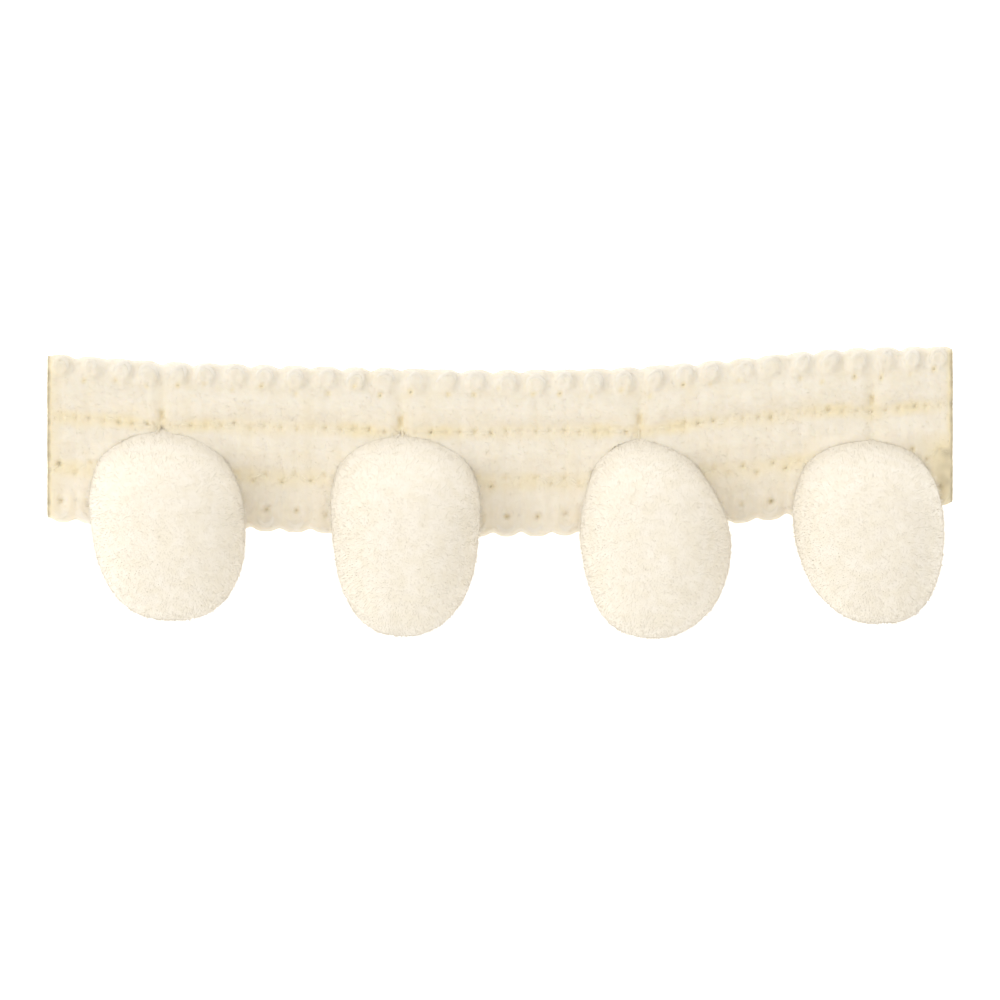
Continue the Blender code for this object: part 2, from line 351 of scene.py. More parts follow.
@dataclass(frozen=True)
class Layout:
    """How the heading lies: its gentle curve, its courses, its slits and the pompoms that press it."""

    half_length: float = 54.4
    courses: int = 31
    nominal_width: float = 19.8
    stations: tuple[Station, ...] = (
        Station(-54.4, 16.60, 20.2),
        Station(-40.8, 15.70, 20.1),
        Station(-27.2, 15.25, 20.1),
        Station(-13.6, 14.90, 20.1),
        Station(0.0, 14.65, 20.1),
        Station(13.6, 14.90, 20.0),
        Station(27.2, 15.90, 19.9),
        Station(40.8, 17.20, 19.8),
        Station(54.4, 17.50, 19.1),
    )
    slit_below: float = 6.3
    pinch_centre: float = 5.4
    pinch_spread: float = 2.6
    shoulder_reach: float = 3.2
    shoulder_drop: float = 0.9
    press_reach: float = -0.80
    pressed: float = 1.50
    pressed_edge: float = 1.00
    edge_strip: float = 2.4
    ledge: float = 1.58
    ledge_lip: float = 0.4
    ledge_run: float = 3.2
    collar: float = 0.45
    collar_reach: float = 1.3
    collar_inside: float = 0.3
    collar_from: float = 0.1
    collar_run: float = 0.5
    tie_gap: float = 0.8
    tie_gap_reach: float = 1.0

    @property
    def pitch(self) -> float:
        """Mean length of a course."""
        return 2 * self.half_length / self.courses

    def x_at(self, course: Array) -> Array:
        """x at a place along the heading, given in courses."""
        courses = [0, *(shape.slit_course for shape in POMPOMS), self.courses]
        places = [-self.half_length, *(shape.slit_x for shape in POMPOMS), self.half_length]
        return curve_through(courses, places, course)

    def top(self, x: Array) -> Array:
        """y of the top edge."""
        return curve_through([s.x for s in self.stations], [s.top for s in self.stations], x)

    def width(self, x: Array) -> Array:
        """Width of the heading."""
        return curve_through([s.x for s in self.stations], [s.width for s in self.stations], x)

    def lower_edge(self, x: Array) -> Array:
        """y of the lower edge."""
        return self.top(x) - self.width(x)

    def below(self, x: Array, y: Array) -> Array:
        """Distance below the top edge, for a heading of nominal width."""
        return (self.top(x) - y) * self.nominal_width / self.width(x)

    def rest_height(self, x: Array, y: Array) -> Array:
        """The lowest that a pompom may reach: the floor, or the ledge over the heading."""
        outside = self.lower_edge(x) - self.ledge_lip - y
        return self.ledge * np.clip(1 - outside / self.ledge_run, 0, 1)

    def on_cable(self, below: Array) -> Array:
        """How strongly a slit draws the cloth at a distance below the top edge."""
        return bell(below - self.pinch_centre, self.pinch_spread)

    def place(self, course: Array, below: Array, height: Array, thickness: float = 0.0) -> Array:
        """Puts points given in courses, distance below the top edge and height into the frame.

        Args:
            course: Places along the heading, in courses.
            below: Distances below the top edge, for a heading of nominal width.
            height: Heights above the surface that the trim lies on.
            thickness: How far what lies there rises above its points.

        Returns:
            Rows of x, y and z, pressed down where a pompom lies on them.
        """
        x = self.x_at(course)
        width = self.width(x)
        down = below * width / self.nominal_width
        for shape in POMPOMS:
            shoulder = bell(x - shape.slit_x, self.shoulder_reach)
            down = down + self.shoulder_drop * shoulder * self.on_cable(below)
        y = self.top(x) - down
        raised = height + self.collar_rise(x, y)
        return np.column_stack((x, y, np.minimum(raised, self.press(x, y, down, width) - thickness)))

    def collar_rise(self, x: Array, y: Array) -> Array:
        """How far the cloth stands up around the pompoms' tied ends, beside the ties."""
        rise = np.zeros(np.shape(x))
        for shape in POMPOMS:
            outside, share = shape.outside(x, y)
            upper = np.clip((share - self.collar_from) / self.collar_run, 0, 1)
            upper *= self.collar * (1 - self.tie_gap * bell(x - shape.slit_x, self.tie_gap_reach))
            outside = np.maximum(outside + self.collar_inside, 0)
            rise = np.maximum(rise, upper * bell(outside, self.collar_reach))
        return rise

    def press(self, x: Array, y: Array, down: Array, width: Array) -> Array:
        """The most that the heading may rise under or beside the pompoms."""
        least = np.where(down > width - self.edge_strip, self.pressed_edge, self.pressed)
        most = np.full(np.shape(x), np.inf)
        for shape in POMPOMS:
            most = np.minimum(most, np.maximum(shape.underside(x, y, self.press_reach), least))
        return most


LAYOUT = Layout()


@dataclass(frozen=True)
class YarnFinish:
    """A matt yarn: its colours, its sheen, and the relief of its fibres, with sizes in millimetres.

    A soft yarn shows two close tones that drift over a few millimetres. One with a deep tone also
    shows painted shade: the deep tone in its grooves and between its fibres, and a dark hole tone down
    in its holes. Its depth attribute goes from 0 on the surface through 0.5, the deep tone, to 1, the
    hole tone; it also carries a random drift of tone and darker cut ends. Glow is how far light passes
    through the yarn, which softens its own shadows.
    """

    name: str
    tone: str
    second_tone: str
    deep_tone: str = ""
    hole_tone: str = ""
    drift: float = 1.5
    roughness: float = 0.95
    sheen: float = 0.2
    fibre: float = 0.22
    relief: float = 0.03
    glow: float = 0.0
    glow_reach: float = 0.5

    def material(self) -> bpy.types.Material:
        """Builds the material."""
        made = bpy.data.materials.new(self.name)
        made.use_nodes = True
        tree = made.node_tree
        tree.nodes.clear()
        out = add_node(tree, "ShaderNodeOutputMaterial")
        place = add_node(tree, "ShaderNodeTexCoord").outputs["Object"]
        drift = add_node(
            tree,
            "ShaderNodeTexNoise",
            {"Scale": 1 / (self.drift * MM), "Detail": 3.0, "Roughness": 0.6},
            {"Vector": place},
        )
        spread = add_node(
            tree,
            "ShaderNodeMapRange",
            {"From Min": 0.35, "From Max": 0.65},
            {"Value": drift.outputs["Fac"]},
        )
        colour = add_node(
            tree,
            "ShaderNodeMix",
            {"data_type": "RGBA", 6: linear_colour(self.tone), 7: linear_colour(self.second_tone)},
            {0: spread.outputs["Result"]},
        ).outputs[2]
        # Painted shade from the depth attribute: the deep tone in grooves and between fibres, the hole tone
        # down in holes
        if self.deep_tone:
            depth = add_node(tree, "ShaderNodeAttribute", {"attribute_name": DEPTH})
            for least, tone in ((0.0, self.deep_tone), (0.5, self.hole_tone)):
                part = add_node(
                    tree,
                    "ShaderNodeMapRange",
                    {"From Min": least, "From Max": least + 0.5},
                    {"Value": depth.outputs["Fac"]},
                )
                colour = add_node(
                    tree,
                    "ShaderNodeMix",
                    {"data_type": "RGBA", 7: linear_colour(tone)},
                    {0: part.outputs["Result"], 6: colour},
                ).outputs[2]
        fibres = add_node(
            tree,
            "ShaderNodeTexNoise",
            {"Scale": 1 / (self.fibre * MM), "Detail": 4.0, "Roughness": 0.7},
            {"Vector": place},
        )
        bump = add_node(
            tree,
            "ShaderNodeBump",
            {"Strength": 0.6, "Distance": self.relief * MM},
            {"Height": fibres.outputs["Fac"]},
        )
        shader = add_node(
            tree,
            "ShaderNodeBsdfPrincipled",
            {
                "Roughness": self.roughness,
                "Sheen Weight": self.sheen,
                "Specular IOR Level": 0.2,
                "Subsurface Weight": self.glow,
                "Subsurface Radius": (1.0, 0.85, 0.6),
                "Subsurface Scale": self.glow_reach * MM,
            },
            {"Base Color": colour, "Normal": bump.outputs["Normal"]},
        )
        tree.links.new(shader.outputs["BSDF"], out.inputs["Surface"])
        return made


# Brushed cotton knitting yarn: matt and slightly hairy, so that its ridges look soft; its deep and hole
# tones are painted shade in its grooves, slits and holes
KNIT_COTTON = YarnFinish(
    "brushed_cotton_knit", "#E8E0D0", "#E3DAC8", "#E6D9B9", "#A1957A", drift=1.8, fibre=0.25, glow=0.4
)
# The thicker weft that turns at both edges: the same cotton, a touch more neutral in tone than the knit
WEFT_COTTON = YarnFinish("brushed_cotton_weft", "#E7E0D3", "#E2DACB", "#E6D9B9", "#A1957A")
# Chain thread: the same cotton again, pulled smooth
CHAIN_COTTON = YarnFinish(
    "soft_chain_cotton", "#EAE2D2", "#E5DCCA", "#E6D9B9", "#A1957A",
    roughness=0.9, sheen=0.1, fibre=0.15, relief=0.02,
)
# Cut acrylic pile: bright ends of fibres, which lie every way on the pompom, with painted shade towards
# their roots
CUT_ACRYLIC = YarnFinish(
    "cut_acrylic_ends", "#F1EADD", "#EEE6D7", "#E6DCC8", "#DCCFAF",
    drift=3.0, sheen=0.3, fibre=0.3, relief=0.02,
)
# The same pile seen between those ends, packed so closely that it looks like felt
PACKED_ACRYLIC = YarnFinish("packed_acrylic_pile", "#F1E9DA", "#EDE4D1", drift=1.6, sheen=0.3)
# Tie thread of two plies
TIE_COTTON = YarnFinish(
    "two_ply_tie_cotton", "#E4DAC2", "#DDD0B2",
    drift=1.0, roughness=0.85, sheen=0.1, fibre=0.12, relief=0.02,
)


@dataclass
class YarnPath:
    """A yarn of twisted plies, swept along a line of points by hand, as no operator gives its twist."""

    sides: int
    plies: int
    dent: float
    turn_length: float
    flat: float = 1.0

    def sweep(self, line: Array, radius: float | Array, up: Vector | Sequence[float]) -> tuple[Array, list]:
        """Sweeps the yarn.

        Args:
            line: Rows of x, y and z along its middle.
            radius: Its radius, in all or at each point.
            up: A direction that the line never points in.

        Returns:
            The yarn's points and its faces.
        """
        count = len(line)
        tangent = np.gradient(line, axis=0)
        tangent /= np.linalg.norm(tangent, axis=1)[:, None]
        side = np.cross(tangent, np.asarray(up, float))
        side /= np.linalg.norm(side, axis=1)[:, None]
        rise = np.cross(side, tangent)
        steps = np.linalg.norm(np.diff(line, axis=0), axis=1)
        travelled = np.concatenate(([0.0], np.cumsum(steps)))
        around = np.arange(self.sides) * 2 * math.pi / self.sides
        twist = 2 * math.pi * travelled / self.turn_length
        lobes = np.abs(np.cos(self.plies / 2 * (around[None, :] + twist[:, None])))
        reach = np.broadcast_to(np.asarray(radius, float), (count,))[:, None]
        reach = reach * (1 - self.dent * (1 - lobes))
        ring = (
            line[:, None, :]
            + (reach * np.cos(around))[:, :, None] * side[:, None, :]
            + (reach * np.sin(around) * self.flat)[:, :, None] * rise[:, None, :]
        )
        points = np.concatenate((ring.reshape(-1, 3), line[:1], line[-1:]))
        faces = []
        for step in range(count - 1):
            for turn in range(self.sides):
                after = (turn + 1) % self.sides
                low = step * self.sides
                high = low + self.sides
                faces.append((low + turn, low + after, high + after, high + turn))
        first = count * self.sides
        last = first + 1
        for turn in range(self.sides):
            after = (turn + 1) % self.sides
            faces.append((after, turn, first))
            faces.append((first - self.sides + turn, first - self.sides + after, last))
        return points, faces


@dataclass
class Gathered:
    """Many small shapes that are joined to one mesh."""

    points: list = field(default_factory=list)
    faces: list = field(default_factory=list)
    count: int = 0

    def add(self, points: Array, faces: Iterable[Sequence[int]]) -> None:
        """Adds a shape's points and faces."""
        self.points.append(points)
        self.faces.extend(tuple(number + self.count for number in face) for face in faces)
        self.count += len(points)

    def piece(self, name: str) -> bpy.types.Object:
        """Makes the joined piece."""
        return piece_from_arrays(name, np.concatenate(self.points), self.faces)


@dataclass
class Fibres:
    """Fine fibres, each a closed spike of four faces, joined to one mesh."""

    radius: float
    seed: int

    def mesh_arrays(self, roots: Array, tips: Array) -> tuple[Array, Array]:
        """Makes a spike from each root to its tip.

        Args:
            roots: Rows of x, y and z.
            tips: Rows of x, y and z.

        Returns:
            The points, four for each fibre with the tip last, and the faces.
        """
        chance = np.random.default_rng(self.seed)
        along = tips - roots
        along /= np.linalg.norm(along, axis=1)[:, None]
        helper = np.where(np.abs(along[:, 2:]) < 0.8, [[0.0, 0.0, 1.0]], [[1.0, 0.0, 0.0]])
        side = np.cross(along, helper)
        side /= np.linalg.norm(side, axis=1)[:, None]
        rise = np.cross(along, side)
        start = chance.uniform(0, 2 * math.pi, len(roots))
        corners = []
        for turn in range(3):
            angle = start + turn * 2 * math.pi / 3
            spread = np.cos(angle)[:, None] * side + np.sin(angle)[:, None] * rise
            corners.append(roots + self.radius * spread)
        points = np.stack((*corners, tips), axis=1).reshape(-1, 3)
        first = np.arange(len(roots))[:, None] * 4
        faces = np.concatenate(
            [first + np.array([row]) for row in ((0, 1, 3), (1, 2, 3), (2, 0, 3), (2, 1, 0))]
        )
        return points, faces


@dataclass(frozen=True)
class EdgeLoops:
    """The weft's turns at one edge: a loop for each course, raised in the cloth, with its yarn on top.

    The outline is the middle of the yarn, as rows of a place across the course and a distance below
    the top edge.
    """

    name: str
    outline: tuple[tuple[float, float], ...]
    lean: float
    uneven: float
    seed: int
    ridge: float
    ridge_width: float
    fill: float = 0.0
    fill_size: tuple[float, float] = (1.2, 1.1)
    radius: float = 0.42
    proud: float = 0.07
    sink: float = 0.30
    leans: tuple[float, float] = (-0.2, 1.6)
    strengths: tuple[float, float] = (0.6, 1.2)
    lifts: tuple[float, float] = (0.2, 1.6)
    thin_end: float = 0.4
    end_gap: float = 0.05
    steps: int = 22
    yarn: YarnPath = field(default_factory=lambda: YarnPath(10, 3, 0.12, 3.4, 0.8))

    def lines(self) -> Array:
        """The middle of each loop's yarn, as rows of a place in courses and a distance below the edge."""
        chance = np.random.default_rng(self.seed)
        places = np.linspace(0, 1, len(self.outline))
        at = np.linspace(0, 1, self.steps)
        model = [curve_through(places, [spot[axis] for spot in self.outline], at) for axis in range(2)]
        made = []
        for course in range(LAYOUT.courses):
            wide = 1 + chance.normal(0, self.uneven)
            shift = chance.normal(0, self.uneven)
            lean = self.lean * chance.uniform(*self.leans)
            across = model[0] * wide + shift - lean * (model[1] - model[1].mean())
            below = model[1] + chance.normal(0, self.uneven) * 0.6
            place = course + 0.5 + across / LAYOUT.pitch
            place = np.clip(place, self.end_gap, LAYOUT.courses - self.end_gap)
            made.append(np.column_stack((place, below)))
        return np.array(made)

    def rise(self, course: Array, below: Array) -> Array:
        """How far the loops raise the cloth at places given in courses and below the top edge."""
        chance = np.random.default_rng(self.seed + 1)
        raised = np.zeros_like(course)
        for line in self.lines():
            strength = chance.uniform(*self.strengths)
            reach = 3 * self.ridge_width
            half_wide = np.ptp(line[:, 0]) * LAYOUT.pitch / 2
            near = np.abs(course - line[:, 0].mean()) * LAYOUT.pitch < half_wide + reach
            near &= (below > line[:, 1].min() - reach) & (below < line[:, 1].max() + reach)
            spots = np.flatnonzero(near)
            aside = (course[spots, None] - line[None, :, 0]) * LAYOUT.pitch
            along = below[spots, None] - line[None, :, 1]
            distance = np.sqrt((aside**2 + along**2).min(axis=1))
            outline = self.ridge * bell(distance, self.ridge_width)
            middle = (line.min(axis=0) + line.max(axis=0)) / 2
            across = (course[spots] - middle[0]) * LAYOUT.pitch / self.fill_size[0]
            inside = self.fill * bell(across**2 + ((below[spots] - middle[1]) / self.fill_size[1]) ** 2, 1.0)
            raised[spots] = np.maximum(raised[spots], strength * (outline + inside))
        return raised

    def build(self, ground: Ground) -> bpy.types.Object:
        """Builds the yarn of all the loops as one piece, on the cloth whose height ground gives."""
        chance = np.random.default_rng(self.seed + 2)
        at = np.linspace(0, 1, self.steps)
        shown = np.sin(math.pi * at) ** 0.5
        joined = Gathered()
        for line in self.lines():
            thick = self.radius * (1 + chance.normal(0, self.uneven))
            lift = self.proud * chance.uniform(*self.lifts)
            height = ground(line[:, 0], line[:, 1]) + lift * shown - self.sink * (1 - shown)
            height -= thick * self.yarn.flat
            points = LAYOUT.place(line[:, 0], line[:, 1], height, thick * self.yarn.flat)
            radii = thick * (self.thin_end + (1 - self.thin_end) * shown)
            joined.add(*self.yarn.sweep(points, radii, (0, 0, 1)))
        return joined.piece(self.name)


PICOTS = EdgeLoops(
    "picot_loops",
    ((-0.34, 2.55), (-0.74, 1.95), (-0.64, 1.10), (0.0, 0.66), (0.64, 1.10), (0.74, 1.95), (0.34, 2.55)),
    0.35,
    0.14,
    61,
    0.12,
    0.42,
    fill=0.60,
    proud=0.03,
)
SCALLOPS = EdgeLoops(
    "scallop_loops",
    ((-0.95, 16.6), (-1.02, 17.5), (-0.78, 18.6), (0.0, 19.10), (0.78, 18.6), (1.02, 17.5), (0.95, 16.6)),
    0.08,
    0.10,
    67,
    0.18,
    0.48,
)


@dataclass(frozen=True)
class ShadeAndTone:
    """How far the cloth's colour moves towards its tan and dark tones: painted shade in grooves and slits, a
    painted shadow of the last pompom at the right end, a darker patch at the left end, a random drift of
    tone, and darker cut ends.
    """

    # Painted shade in the grooves, where the cloth lies lower than low, stronger in the troughs beside each
    # slit and towards the left end
    low: float = 2.22
    low_run: float = 0.36
    first_below: float = 2.4
    last_below: float = 15.2
    between_grooves: float = 10.0
    grooves: float = 0.45
    first_groove: float = 0.55
    second_groove: float = 0.75
    trough: float = 0.65
    trough_distance: float = 4.8
    trough_reach: float = 2.0
    left_groove: float = 0.9
    left_groove_reach: float = 5.0
    # Painted shade in the trough that each slit draws in
    slit: float = 0.15
    # A random drift of the cloth's own tone
    drift: Lumps = Lumps(0.16, 2.4, 6.1)
    # Painted shadow of the last pompom on the lower rows near the right end, and a darker patch near the
    # left end
    end_patches: float = 0.66
    right_shadow_below: float = 10.0
    right_shadow_reach: float = 3.8
    left_patch: float = 0.5
    left_patch_reach: float = 1.6
    patch_lumps: Lumps = Lumps(0.3, 1.1, 4.7)
    # Darker towards both cut ends
    end: float = 0.84
    end_reach: float = 0.62
    end_lumps: Lumps = Lumps(0.25, 0.7, 9.4)

    def in_grooves(self, along: Array, below: Array, height: Array) -> Array:
        """Painted shade in the grooves, strongest in the troughs beside each slit and near the left end."""
        trough = np.zeros_like(along)
        for shape in POMPOMS:
            aside = np.abs(along - shape.slit_x) - self.trough_distance
            trough = np.maximum(trough, bell(aside, self.trough_reach))
        low = np.clip((self.low - height) / self.low_run, 0, 1)
        low *= np.clip((below - self.first_below) / 2, 0, 1)
        low *= np.clip((self.last_below - below) / 1.5, 0, 1)
        first = self.first_groove + self.trough * trough
        low *= np.where(below < self.between_grooves, first, self.second_groove)
        left = self.left_groove * bell(LAYOUT.half_length + along, self.left_groove_reach)
        return self.grooves * low * (1 + left)

    def at(self, along: Array, below: Array, height: Array, pinch: Array) -> Array:
        """How far painted shade and tone show.

        Args:
            along: The places' x.
            below: Their distances below the top edge.
            height: The cloth's height there.
            pinch: How strongly a slit draws the cloth in there.

        Returns:
            The depth in the yarn's colours, where 0.5 is the deep tone.
        """
        flat = np.column_stack((along, below, np.zeros_like(below)))
        shade_and_tone = self.in_grooves(along, below, height) + self.slit * pinch
        shade_and_tone += np.maximum(self.drift.at(flat), 0)
        # Painted shadow of the last pompom near the right end, plus a darker patch at the left end
        end_patches = bell(LAYOUT.half_length - along, self.right_shadow_reach)
        end_patches *= np.clip((below - self.right_shadow_below) / 3, 0, 1)
        end_patches += self.left_patch * bell(LAYOUT.half_length + along, self.left_patch_reach)
        shade_and_tone = np.maximum(shade_and_tone, self.end_patches * end_patches * (1 + self.patch_lumps.at(flat)))
        end = bell(LAYOUT.half_length - np.abs(along), self.end_reach)
        return np.maximum(shade_and_tone, self.end * end * (1 + self.end_lumps.at(flat)))


@dataclass
class Heading:
    """The knitted cloth, with relief on its face and a gentler one on its back."""

    steps_per_course: int = 16
    steps_across: int = 76
    picot_dip: float = 0.34
    scallop_dip: float = 0.52
    dip_reach: float = 0.20
    edge_round: float = 0.55
    edge_lift: float = 0.40
    back_relief: float = 0.10
    lumps: tuple[Lumps, ...] = (Lumps(0.07, 2.6, 3.3), Lumps(0.042, 1.1, 8.1))
    pinch_half_width: float = 1.0
    pinch_depth: float = 0.36
    slit_row: float = 5.6
    slit_half_width: float = 0.30
    slit_half_length: float = 0.70
    slit_floor: float = 1.65
    tinting: ShadeAndTone = ShadeAndTone()
    rib_middle: float = 0.6
    hole_strengths: tuple[float, float] = (0.35, 1.0)
    hole_edge: float = 1.4
    slit_shade: float = 0.45
    hole_shade: float = 0.95
    back_shade: float = 0.2
    most_tint: float = 0.7
    edge_square: float = 0.92
    least_thickness: float = 0.3
    seed: int = 5
    rows: tuple[Row, ...] = (
        Row(0.0, 1.50, 0.00),  # picot bed
        Row(1.6, 1.75, 0.02),  # picot root
        Row(2.8, 1.92, 0.03),  # picot seam
        Row(3.5, 2.30, 0.04),  # first cable rise
        Row(4.7, 2.62, 0.05),  # first cable crown
        Row(5.9, 2.42, 0.04),  # first cable fall
        Row(6.7, 2.02, 0.03),  # first groove upper lip
        Row(7.35, 1.86, 0.02),  # first groove
        Row(8.0, 1.98, 0.03),  # first groove lower lip
        Row(8.8, 2.28, 0.04),  # second cable rise
        Row(10.2, 2.60, 0.05),  # second cable crown
        Row(11.6, 2.34, 0.04),  # second cable fall
        Row(12.8, 2.00, 0.03),  # second groove upper stitch
        Row(13.8, 1.95, 0.03),  # second groove lower stitch
        Row(14.7, 2.06, 0.04),  # third cable rise
        Row(15.8, 2.12, 0.04),  # third cable crown
        Row(17.6, 1.96, 0.02),  # scallop seam
        Row(19.8, 1.75, 0.00),  # scallop bed
    )
    holes: tuple[Holes, ...] = (
        Holes(3.0, 0.42, 0.28, 0.34, 0.35),  # picot seam
        Holes(7.35, 0.0, 0.50, 0.28, 0.12),  # first groove, course ends
        Holes(7.35, 0.5, 0.50, 0.28, 0.12),  # first groove, course middles
        Holes(12.8, 0.5, 0.50, 0.30, 0.12),  # second groove upper
        Holes(13.8, 0.0, 0.50, 0.30, 0.12),  # second groove lower
        Holes(17.4, 0.5, 0.90, 0.30, 0.12),  # scallop seam
    )

    def read_row(self, column: str, below: Array) -> Array:
        """One column of the rows, on a smooth curve across the heading."""
        return curve_through([r.below for r in self.rows], [getattr(r, column) for r in self.rows], below)

    def outline(self, course: Array) -> tuple[Array, Array]:
        """How far below the top edge's line the cloth starts and ends, dipping between its picots."""
        chance = np.random.default_rng(self.seed + 1)
        upper = np.zeros_like(course)
        lower = np.full_like(course, LAYOUT.nominal_width)
        for number in range(LAYOUT.courses + 1):
            dip = bell(course - number - chance.normal(0, 0.04), self.dip_reach)
            upper += self.picot_dip * chance.uniform(0.4, 1.4) * dip
            lower -= self.scallop_dip * chance.uniform(0.7, 1.2) * dip
        return upper, lower

    def shade_and_tone(self, course: Array, below: Array, height: Array) -> Array:
        """How far painted shade and tone show on the cloth at places of a height."""
        return self.tinting.at(LAYOUT.x_at(course), below, height, self.pinch(course, below))

    def pinch(self, course: Array, below: Array) -> Array:
        """How strongly a slit draws the cloth in, from 0 to 1, down to its pompom."""
        drawn = np.zeros_like(course)
        for shape in POMPOMS:
            aside = LAYOUT.x_at(course) - shape.slit_x
            to_pile = float(LAYOUT.top(shape.slit_x)) - shape.top_y - LAYOUT.pinch_centre
            spread = np.where(below < LAYOUT.pinch_centre, LAYOUT.pinch_spread, to_pile)
            along = bell(below - LAYOUT.pinch_centre, spread)
            drawn = np.maximum(drawn, bell(aside, self.pinch_half_width) * along)
        return drawn

    def face_height(self, course: Array, below: Array) -> tuple[Array, Array]:
        """Height of the cloth's face before it is pressed, and how deep a place lies in its holes and slits,
        which is painted as shade.
        """
        chance = np.random.default_rng(self.seed)
        rib_wave = np.abs(np.sin(2 * math.pi * course)) - self.rib_middle
        flat = np.column_stack((course * LAYOUT.pitch, below, np.zeros_like(below)))
        height = self.read_row("height", below) + self.read_row("rib", below) * rib_wave
        height += sum(lumps.at(flat) for lumps in self.lumps)
        height += PICOTS.rise(course, below) + SCALLOPS.rise(course, below)
        deep = np.zeros_like(height)
        for line in self.holes:
            number = np.clip(np.round(course - line.phase), 0, LAYOUT.courses).astype(int)
            shift = chance.normal(0, line.stray, LAYOUT.courses + 1)
            drop = chance.normal(0, line.stray, LAYOUT.courses + 1)
            strength = chance.uniform(*self.hole_strengths, LAYOUT.courses + 1)
            aside = (course - line.phase - number) * LAYOUT.pitch - shift[number]
            across = below - line.below - drop[number]
            in_hole = strength[number] * np.exp(-((aside**2 + across**2) / line.radius**2))
            height -= line.depth * in_hole
            # Painted shade down in each hole
            deep = np.maximum(deep, in_hole**self.hole_edge)
        height -= self.pinch_depth * self.pinch(course, below)
        for shape in POMPOMS:
            aside = LAYOUT.x_at(course) - shape.slit_x
            in_slit = np.exp(
                -((aside / self.slit_half_width) ** 4)
                - ((below - self.slit_row) / self.slit_half_length) ** 4
            )
            height += (self.slit_floor - height) * in_slit
            # Painted shade in each slit
            deep = np.maximum(deep, self.slit_shade * in_slit)
        return height, deep

    def ground(self, course: Array, below: Array) -> Array:
        """Height of the cloth's face before it is pressed."""
        return self.face_height(course, below)[0]

    def tint(self, piece: bpy.types.Object) -> bpy.types.Object:
        """Gives a piece that lies on the cloth the painted shade and tone of the cloth under it."""
        points = points_of(piece)
        table = np.linspace(0, LAYOUT.courses, 20 * LAYOUT.courses + 1)
        course = np.interp(points[:, 0], LAYOUT.x_at(table), table)
        below = LAYOUT.below(points[:, 0], points[:, 1])
        # Painted shade and tone of the cloth under each point, capped at most_tint
        shade_and_tone = self.shade_and_tone(course, below, self.ground(course, below))
        store(piece, DEPTH, np.clip(shade_and_tone, 0, self.most_tint))
        return piece

    def build(self) -> bpy.types.Object:
        """Builds the cloth from a grid, extruded to a face and a back."""
        deselect()
        bpy.ops.mesh.primitive_grid_add(
            x_subdivisions=LAYOUT.courses * self.steps_per_course,
            y_subdivisions=self.steps_across,
            size=2.0,
        )
        cloth = bpy.context.object
        cloth.name = "heading_cloth"
        bpy.ops.object.mode_set(mode="EDIT")
        bpy.ops.mesh.select_all(action="SELECT")
        bpy.ops.mesh.extrude_region_move(TRANSFORM_OT_translate={"value": (0, 0, 1)})
        bpy.ops.object.mode_set(mode="OBJECT")
        grid = points_of(cloth) * MM
        course = (grid[:, 0] + 1) / 2 * LAYOUT.courses
        upper, lower = self.outline(course)
        below = upper + (1 - grid[:, 1]) / 2 * (lower - upper)
        height, deep = self.face_height(course, below)
        near_edge = np.clip(1 - np.minimum(below - upper, lower - below) / self.edge_round, 0, 1)
        stitch = 0.5 + 0.5 * np.cos(4 * math.pi * course) * np.cos(2 * math.pi * below / LAYOUT.pitch)
        back = self.edge_lift * near_edge**2 + self.back_relief * stitch
        on_face = grid[:, 2] > 0.5
        points = LAYOUT.place(course, below, height)
        rounded = back + (points[:, 2] - back) * np.sqrt(1 - near_edge**2 * self.edge_square)
        points[:, 2] = np.where(on_face, np.maximum(rounded, back + self.least_thickness), back)
        place_points(cloth, points)
        bpy.ops.object.mode_set(mode="EDIT")
        bpy.ops.mesh.select_all(action="SELECT")
        bpy.ops.mesh.normals_make_consistent(inside=False)
        bpy.ops.object.mode_set(mode="OBJECT")
        cloth.data.shade_smooth()
        # Painted shade in the grooves, holes and slits and in the last pompom's shadow, with a random drift
        # of tone and darker cut ends on the face; a fixed deep tone on the back
        shade = np.maximum(self.shade_and_tone(course, below, height), deep * self.hole_shade)
        store(cloth, DEPTH, np.where(on_face, np.clip(shade, 0, 1), self.back_shade))
        return cloth


@dataclass
class ChainStitches:
    """A line of chain stitches: two legs of thread from each hole to the next."""

    name: str
    upper: float
    lower: float
    radius: float
    spread: float
    seed: int
    proud: float = 0.07
    gap: float = 0.10
    sink: float = 0.10
    end_gap: float = 0.12
    widths: tuple[float, float] = (0.7, 1.3)
    lifts: tuple[float, float] = (0.4, 1.4)
    yarn: YarnPath = field(default_factory=lambda: YarnPath(6, 2, 0.1, 1.2, 0.9))
    steps: int = 7

    def build(self, ground: Ground) -> bpy.types.Object:
        """Builds the line of stitches as one piece, on the cloth whose height ground gives."""
        chance = np.random.default_rng(self.seed)
        joined = Gathered()
        at = np.linspace(0, 1, self.steps)
        for number in range(2 * LAYOUT.courses):
            start = number / 2
            begin, end = (self.lower, self.upper) if number % 2 == 0 else (self.upper, self.lower)
            for side in (-1, 1):
                wide = self.spread * chance.uniform(*self.widths)
                arch = np.sin(math.pi * at)
                course = start + 0.5 * (self.gap + (1 - 2 * self.gap) * at)
                below = begin + (end - begin) * at + side * wide * arch
                course = np.clip(course, self.end_gap, LAYOUT.courses - self.end_gap)
                height = ground(course, below) - self.sink * (1 - arch**0.7) - self.radius
                height += self.proud * chance.uniform(*self.lifts)
                line = LAYOUT.place(course, below, height, self.radius)
                joined.add(*self.yarn.sweep(line, self.radius, (0, 0, 1)))
        return joined.piece(self.name)


